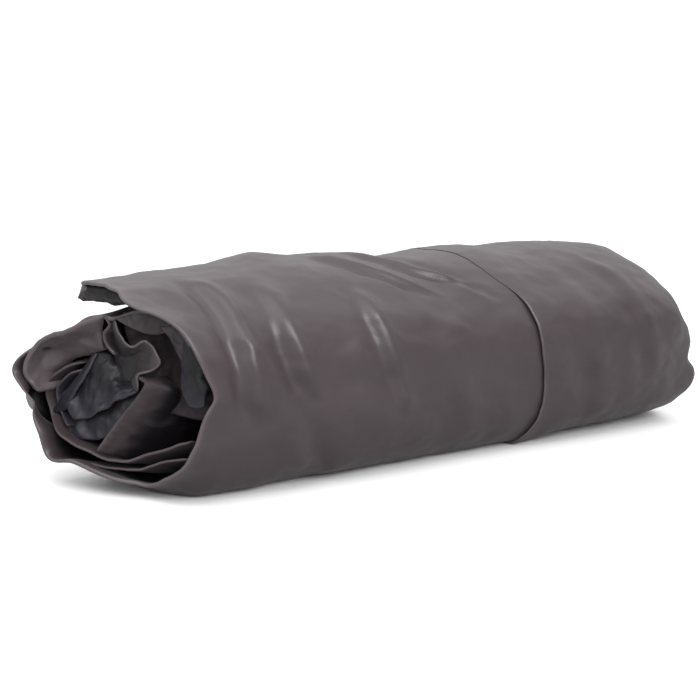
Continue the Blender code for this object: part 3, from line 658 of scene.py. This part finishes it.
def core_turns(name):
    """The inner turns, wound as one quilted layer whose edges show at both ends."""
    half = CORE_HALF
    steps = CORE_END_STEPS
    run = CORE_RUN
    near = [(half - half * math.sin(a), half * math.cos(a)) for a in np.linspace(0, math.pi, steps)]
    columns = 2 * steps + 2 * len(run)

    def place(column, row):
        last = LAST_TURN_STARTS - LAPS_OVER
        phase = CORE_STARTS + (last - CORE_STARTS) * row / (CORE_ROWS - 1)
        angle = np.radians(phase)
        base = outline(phase, np.full_like(phase, 0.3)) / growth(phase)
        base = base * np.maximum(growth(phase), 0.04)
        y0 = -base * np.cos(angle)
        left = 0.030 - 0.533 * y0 + 2.0 * far_wobble(phase + 77.0)
        right = 0.772 + 0.12 * (0.11 - base) + 1.6 * far_wobble(phase)
        centre = base - 0.013 * smooth((phase - CORE_STARTS) / 300.0)
        pinch = half * smooth((phase - CORE_STARTS) / 200.0)
        pinch = pinch * smooth((LAST_TURN_STARTS - phase) / 20.0 + 0.3)
        x = np.empty_like(phase)
        out = np.empty_like(phase)
        for k in range(columns):
            here = column == k
            if k < steps:
                dx, lean = near[k]
                x[here] = left[here] + dx
            elif k < steps + len(run):
                dx, lean = run[k - steps], -half
                x[here] = left[here] + half + dx
            elif k < 2 * steps + len(run):
                dx, lean = near[2 * steps + len(run) - 1 - k]
                x[here] = right[here] - dx
            else:
                dx, lean = run[columns - 1 - k], half
                x[here] = left[here] + half + dx
            out[here] = lean / half
        shape = np.stack([x, y0, base * np.sin(angle)], axis=-1)
        near_ends = 1.0 - smooth((x - left - 0.04) / 0.05) * smooth((right - 0.04 - x) / 0.05)
        radius = centre + out * pinch + 0.0035 * near_ends * field(shape, 0.035, 9, 2)
        radius = np.maximum(radius, 0.0)
        y = AXIS_Y - radius * np.cos(angle)
        z = AXIS_Z + radius * np.sin(angle)
        return np.stack([x + RIM_X, y, z], axis=-1)

    # Painted shade on the core's edges, which show deep in both ends.
    def inner(column, row):
        return 1.0 * ((column < steps + 2) | (column > columns - 3))

    return grid_object(name, columns, CORE_ROWS, place, inner=inner)


# ---- materials -----------------------------------------------------------------------------
def add(tree, kind, links=(), **settings):
    """Adds a shader node, sets its values by name and links its inputs."""
    made = tree.nodes.new(kind)
    for key, value in settings.items():
        if hasattr(made, key):
            setattr(made, key, value)
        else:
            made.inputs[key.replace("_", " ")].default_value = value
    for socket, source in links:
        tree.links.new(source, made.inputs[socket])
    return made


def new_material(name):
    """A new material with its node tree, its shader and the object's own coordinates."""
    made = bpy.data.materials.new(name)
    made.use_nodes = True
    tree = made.node_tree
    place = add(tree, "ShaderNodeTexCoord").outputs["Object"]
    return made, tree, tree.nodes["Principled BSDF"], place


def coated_fabric(name, base, shade, wear_and_highlight, inside, roughness, gloss=0.5):
    """Polyester with a polyurethane coat: a satin film over a fine weave, paler along folded edges from
    wear and a painted highlight, and darkened by painted shade on inner faces.
    """
    if name in bpy.data.materials:
        return bpy.data.materials[name]
    made, tree, shader, place = new_material(name)
    cloud = add(tree, "ShaderNodeTexNoise", [("Vector", place)], Scale=9.0, Detail=5.0)
    tint = add(tree, "ShaderNodeMix", [("Factor", cloud.outputs["Fac"])], data_type="RGBA")
    tint.inputs["A"].default_value = shade
    tint.inputs["B"].default_value = base
    # Paler colour along folded edges: partly worn coat, partly a painted highlight.
    edge = add(tree, "ShaderNodeAttribute", attribute_name="worn_and_highlit_edge")
    rubbed = add(tree, "ShaderNodeMath", [(0, edge.outputs["Fac"]), (1, cloud.outputs["Fac"])],
                 operation="MULTIPLY")
    # Painted shade: the inner-face amount mixes in the dark inside colour where turns and layers lie in
    # shadow.
    side = add(tree, "ShaderNodeAttribute", attribute_name="painted_inner_shade")
    painted_shade_mix = add(tree, "ShaderNodeMix", [("Factor", side.outputs["Fac"]), ("A", tint.outputs["Result"])],
                data_type="RGBA")
    painted_shade_mix.inputs["B"].default_value = inside
    colour = add(tree, "ShaderNodeMix",
                 [("Factor", rubbed.outputs["Value"]), ("A", painted_shade_mix.outputs["Result"])],
                 data_type="RGBA")
    colour.inputs["B"].default_value = wear_and_highlight
    tree.links.new(colour.outputs["Result"], shader.inputs["Base Color"])
    grain = add(tree, "ShaderNodeTexNoise", [("Vector", place)], Scale=70.0, Detail=6.0)
    rough = add(tree, "ShaderNodeMapRange", [("Value", grain.outputs["Fac"])],
                To_Min=roughness - 0.05, To_Max=roughness + 0.07)
    tree.links.new(rough.outputs["Result"], shader.inputs["Roughness"])
    crumple = add(tree, "ShaderNodeTexNoise", [("Vector", place)], Scale=26.0, Detail=4.0)
    soft = add(tree, "ShaderNodeBump", [("Height", crumple.outputs["Fac"])], Strength=0.25, Distance=0.004)
    weave = add(tree, "ShaderNodeTexVoronoi", [("Vector", place)], Scale=900.0)
    fine = add(tree, "ShaderNodeBump",
               [("Height", weave.outputs["Distance"]), ("Normal", soft.outputs["Normal"])],
               Strength=0.08, Distance=0.0004)
    tree.links.new(fine.outputs["Normal"], shader.inputs["Normal"])
    shader.inputs["Specular IOR Level"].default_value = gloss
    shader.inputs["Sheen Weight"].default_value = 0.20 * gloss
    shader.inputs["Sheen Roughness"].default_value = 0.4
    return made


def outer_fabric():
    """The blanket's outer cloth."""
    paint = colours()
    return coated_fabric("polyurethane-coated polyester, taupe", paint.outer, paint.outer_shade,
                         paint.wear_and_highlight, paint.inside, 0.36)


def inner_turn_fabric():
    """The same cloth where the turns have rubbed on each other, so the film has lost its gloss."""
    paint = colours()
    return coated_fabric("polyurethane-coated polyester, taupe, rubbed dull", paint.outer,
                         paint.outer_shade, paint.wear_and_highlight, paint.inside, 0.50, 0.22)


def lining_fabric():
    """The cloth that faces the user when the blanket is in use."""
    paint = colours()
    return coated_fabric("polyurethane-coated polyester, slate lining", paint.lining, paint.lining_shade,
                         paint.wear_and_highlight, paint.inside, 0.42, 0.40)


def moulded_plastic(name, base):
    """Nylon moulded against a sparked tool: a fine dull grain, a little polished by handling."""
    made, tree, shader, place = new_material(name)
    shader.inputs["Base Color"].default_value = base
    grain = add(tree, "ShaderNodeTexNoise", [("Vector", place)], Scale=1400.0, Detail=3.0)
    rubbed = add(tree, "ShaderNodeTexNoise", [("Vector", place)], Scale=120.0, Detail=3.0)
    rough = add(tree, "ShaderNodeMapRange", [("Value", rubbed.outputs["Fac"])], To_Min=0.38, To_Max=0.56)
    tree.links.new(rough.outputs["Result"], shader.inputs["Roughness"])
    dull = add(tree, "ShaderNodeBump", [("Height", grain.outputs["Fac"])], Strength=0.2, Distance=0.0002)
    tree.links.new(dull.outputs["Normal"], shader.inputs["Normal"])
    return made


def plated_metal(name, base):
    """Nickel-plated brass pins, drawn and tumbled: bright, with fine wipe marks."""
    made, tree, shader, place = new_material(name)
    shader.inputs["Base Color"].default_value = base
    shader.inputs["Metallic"].default_value = 1.0
    drawn = add(tree, "ShaderNodeMapping", [("Vector", place)])
    drawn.inputs["Scale"].default_value = (0.1, 1.0, 1.0)
    wipe = add(tree, "ShaderNodeTexNoise", [("Vector", drawn.outputs["Vector"])], Scale=3000.0)
    rough = add(tree, "ShaderNodeMapRange", [("Value", wipe.outputs["Fac"])], To_Min=0.18, To_Max=0.34)
    tree.links.new(rough.outputs["Result"], shader.inputs["Roughness"])
    return made


# ---- settings ------------------------------------------------------------------------------
class BlanketSizes(bpy.types.PropertyGroup):
    layer: FloatProperty(name="Layer", description="Thickness of one quilted layer at the mouth",
                         default=0.005, unit="LENGTH")
    turn: FloatProperty(name="Turn", description="Thickness of one whole turn of the roll",
                        default=0.022, unit="LENGTH")
    puff: FloatProperty(name="Far edge", description="Radius of the puffed edge at the far end",
                        default=0.0125, unit="LENGTH")
    crumple: FloatProperty(name="Crumple", description="Height of the small soft waves in the fabric",
                           default=0.0022, unit="LENGTH")


class BlanketColours(bpy.types.PropertyGroup):
    outer: FloatVectorProperty(name="Outer fabric", description="Outer fabric in the light", size=4,
                               subtype="COLOR", default=linear("#433A3D"))
    outer_shade: FloatVectorProperty(name="Outer shade", description="Darker clouds of the outer fabric",
                                     size=4, subtype="COLOR", default=linear("#3A3235"))
    lining: FloatVectorProperty(name="Lining", description="Lining fabric in the light", size=4,
                                subtype="COLOR", default=linear("#26262F"))
    lining_shade: FloatVectorProperty(name="Lining shade", description="Darker clouds of the lining",
                                      size=4, subtype="COLOR", default=linear("#1C1C26"))
    # Partly wear and partly a painted highlight on folded edges.
    wear_and_highlight: FloatVectorProperty(name="Folded edge", description="Paler coat along folded edges", size=4,
                              subtype="COLOR", default=linear("#7A7174"))
    # Painted shade: not a coat, but the dark colour mixed into faces that lie inwards in shadow.
    inside: FloatVectorProperty(name="Inner face", description="Darker coat of the faces rolled inwards",
                                size=4, subtype="COLOR", default=linear("#120F13"))
    socket: FloatVectorProperty(name="Socket", description="Plastic of the controller socket", size=4,
                                subtype="COLOR", default=linear("#1E1D1F"))
    contact: FloatVectorProperty(name="Contacts", description="Plating of the socket's pins", size=4,
                                 subtype="COLOR", default=linear("#C9C3B4"))


def follow_foot(piece):
    """Bakes the panel's placement into its mesh."""
    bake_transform(piece)


class BLANKET_OT_front_panels(bpy.types.Operator):
    """Makes the last turn's two panels, from underneath, over the front and the top, to the hem"""
    bl_idname = "blanket.front_panels"
    bl_label = "Front panels"

    def execute(self, context):
        left = left_panel("left_panel", UNDERNEATH - LAPS_OVER, TAIL_ENDS, 200, 170)
        right = right_panel("right_panel", UNDERNEATH - LAPS_OVER, TAIL_ENDS, 200, 130)
        for piece in (left, right):
            piece.data.materials.append(outer_fabric())
            follow_foot(piece)
        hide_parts(*[name for name in frame["nodes"] if "socket" not in name])
        return {"FINISHED"}


class BLANKET_OT_back_panels(bpy.types.Operator):
    """Makes the same turn further in: over the top under the foot, down the back and underneath"""
    bl_idname = "blanket.back_panels"
    bl_label = "Back panels"

    def execute(self, context):
        last = UNDERNEATH + LAPS_OVER
        pieces = [left_panel("left_panel_back", LAST_TURN_STARTS, last, 190, 110),
                  right_panel("right_panel_back", LAST_TURN_STARTS, last, 190, 90)]
        for piece in pieces:
            piece.data.materials.append(outer_fabric())
            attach(piece, "roll")
        return {"FINISHED"}


class BLANKET_OT_foot(bpy.types.Operator):
    """Makes the foot's padded inside and the rolled hem on its free edge"""
    bl_idname = "blanket.foot"
    bl_label = "Foot lining and hem"

    def execute(self, context):
        lining = foot_pad("foot_lining", FOOT_LINING_STARTS, TAIL_ENDS + LAPS_OVER, 40, 160,
                          inner=-0.024, outer=-0.005, wedge=1.0)
        lining.data.materials.append(inner_turn_fabric())
        follow_foot(lining)
        hem = foot_pad("foot_hem_edge", TAIL_ENDS - 2.0 * LAPS_OVER, HEM_ENDS, 26, 200,
                       inner=-sizes().turn, outer=-0.0012, wedge=0.0, short=10.0)
        hem.data.materials.append(outer_fabric())
        hem.data.materials.append(inner_turn_fabric())
        # Faces with painted shade over half take the duller cloth.
        inwards = hem.data.attributes["painted_inner_shade"].data
        for face in hem.data.polygons:
            face.material_index = int(any(inwards[v].value > 0.5 for v in face.vertices))
        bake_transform(hem)
        return {"FINISHED"}


class BLANKET_OT_mouth(bpy.types.Operator):
    """Makes the folded layers of the inner turns that show in the open end"""
    bl_idname = "blanket.mouth"
    bl_label = "Mouth layers"

    def execute(self, context):
        for seed, (name, kind, thickness, creased, painted_shade, guides) in enumerate(MOUTH_LAYERS):
            piece = folded_layer(name, thickness, creased, guides, seed + 11, painted_shade)
            finish = {"outer": outer_fabric, "inner": inner_turn_fabric, "lining": lining_fabric}[kind]
            piece.data.materials.append(finish())
            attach(piece, "roll")
        return {"FINISHED"}


class BLANKET_OT_core(bpy.types.Operator):
    """Makes the wound core, whose edges close both ends of the roll"""
    bl_idname = "blanket.core"
    bl_label = "Core turns"

    def execute(self, context):
        piece = core_turns("core_turns")
        piece.data.materials.append(outer_fabric())
        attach(piece, "roll")
        return {"FINISHED"}


class BLANKET_OT_socket(bpy.types.Operator):
    """Gives the controller socket its plastic and its pins their plating"""
    bl_idname = "blanket.socket"
    bl_label = "Socket finish"

    def execute(self, context):
        plastic = moulded_plastic("nylon, spark-textured", colours().socket)
        plating = plated_metal("nickel-plated brass", colours().contact)
        for name in frame["nodes"]:
            if "socket" in name:
                bpy.data.objects[name].data.materials.clear()
                bpy.data.objects[name].data.materials.append(plating if "contact" in name else plastic)
        return {"FINISHED"}


class BLANKET_OT_stage(bpy.types.Operator):
    """Sets the white floor, the soft lights and the camera"""
    bl_idname = "blanket.stage"
    bl_label = "Stage"

    def execute(self, context):
        floor()
        world()
        softbox("high_left_softbox", (-1.3, -0.7, 1.7), 1.2, 10.0)
        softbox("front_softbox", (-0.55, -2.0, 1.05), 1.1, 30.0)
        softbox("low_left_softbox", (-1.7, -1.1, 0.30), 0.6, 2.5)
        camera()
        context.scene.view_settings.view_transform = "Standard"
        return {"FINISHED"}


def floor():
    """A floor that shows white and lights the roll less than white paper would."""
    bm = bmesh.new()
    bmesh.ops.create_grid(bm, x_segments=1, y_segments=1, size=30.0)
    mesh = bpy.data.meshes.new("floor")
    bm.to_mesh(mesh)
    bm.free()
    made = bpy.data.objects.new("floor", mesh)
    bpy.context.scene.collection.objects.link(made)
    paint = bpy.data.materials.new("matt white paper sweep")
    paint.use_nodes = True
    shader = paint.node_tree.nodes["Principled BSDF"]
    ray = add(paint.node_tree, "ShaderNodeLightPath")
    tone = add(paint.node_tree, "ShaderNodeMapRange", [("Value", ray.outputs["Is Camera Ray"])],
               To_Min=0.40, To_Max=0.98)
    paint.node_tree.links.new(tone.outputs["Result"], shader.inputs["Base Color"])
    shader.inputs["Roughness"].default_value = 0.9
    shader.inputs["Specular IOR Level"].default_value = 0.1
    mesh.materials.append(paint)


def world():
    """A white studio: bright overhead and dimmer low down, behind a plain white backdrop."""
    made = bpy.data.worlds.new("white studio")
    bpy.context.scene.world = made
    made.use_nodes = True
    tree = made.node_tree
    light = tree.nodes["Background"]
    ray = add(tree, "ShaderNodeLightPath")
    where = add(tree, "ShaderNodeTexCoord")
    split = add(tree, "ShaderNodeSeparateXYZ", [("Vector", where.outputs["Generated"])])
    high = add(tree, "ShaderNodeMapRange", [("Value", split.outputs["Z"])], To_Min=0.18, To_Max=1.85)
    bright = add(tree, "ShaderNodeMix",
                 [("Factor", ray.outputs["Is Camera Ray"]), ("A", high.outputs["Result"])])
    bright.inputs["B"].default_value = 1.1
    tree.links.new(bright.outputs["Result"], light.inputs["Strength"])
    light.inputs["Color"].default_value = (1.0, 1.0, 1.0, 1.0)


def softbox(name, place, size, power):
    """A square lamp that points at the roll's middle."""
    lamp = bpy.data.lights.new(name, "AREA")
    lamp.size = size
    lamp.energy = power
    made = bpy.data.objects.new(name, lamp)
    made.location = place
    made.rotation_euler = (Vector((0.0, 0.0, 0.1)) - made.location).to_track_quat("-Z", "Y").to_euler()
    bpy.context.scene.collection.objects.link(made)


def camera():
    """Looks at the roll from the side of its open end and its front, a little from above."""
    data = bpy.data.cameras.new("camera")
    data.sensor_width = 36.0
    data.lens = CAMERA_LENS
    data.clip_start = 0.05
    made = bpy.data.objects.new("camera", data)
    bpy.context.scene.collection.objects.link(made)
    made.location = CAMERA_PLACE
    heading = math.radians(CAMERA_HEADING)
    pitch = math.radians(CAMERA_PITCH)
    level = math.cos(pitch)
    look = Vector((math.cos(heading) * level, math.sin(heading) * level, -math.sin(pitch)))
    made.rotation_euler = look.to_track_quat("-Z", "Y").to_euler()
    bpy.context.scene.camera = made


class BLANKET_PT_tools(bpy.types.Panel):
    """Holds the blanket's sizes, its colours and a button for each step"""
    bl_label = "Rolled sauna blanket"
    bl_idname = "BLANKET_PT_tools"
    bl_space_type = "VIEW_3D"
    bl_region_type = "UI"
    bl_category = "Blanket"

    def draw(self, context):
        for group in (context.scene.blanket_sizes, context.scene.blanket_colours):
            for name in group.__annotations__:
                self.layout.prop(group, name)
        for operator in OPERATORS:
            self.layout.operator(operator.bl_idname)


OPERATORS = (BLANKET_OT_stage, BLANKET_OT_front_panels, BLANKET_OT_back_panels, BLANKET_OT_foot,
             BLANKET_OT_mouth, BLANKET_OT_core, BLANKET_OT_socket)
CLASSES = (BlanketSizes, BlanketColours) + OPERATORS + (BLANKET_PT_tools,)


def register():
    for cls in CLASSES:
        bpy.utils.register_class(cls)
    bpy.types.Scene.blanket_sizes = PointerProperty(type=BlanketSizes)
    bpy.types.Scene.blanket_colours = PointerProperty(type=BlanketColours)


def unregister():
    del bpy.types.Scene.blanket_colours
    del bpy.types.Scene.blanket_sizes
    for cls in reversed(CLASSES):
        bpy.utils.unregister_class(cls)


def main():
    register()
    for operator in OPERATORS:
        group, name = operator.bl_idname.split(".")
        getattr(getattr(bpy.ops, group), name)()


if __name__ == "__main__":
    main()
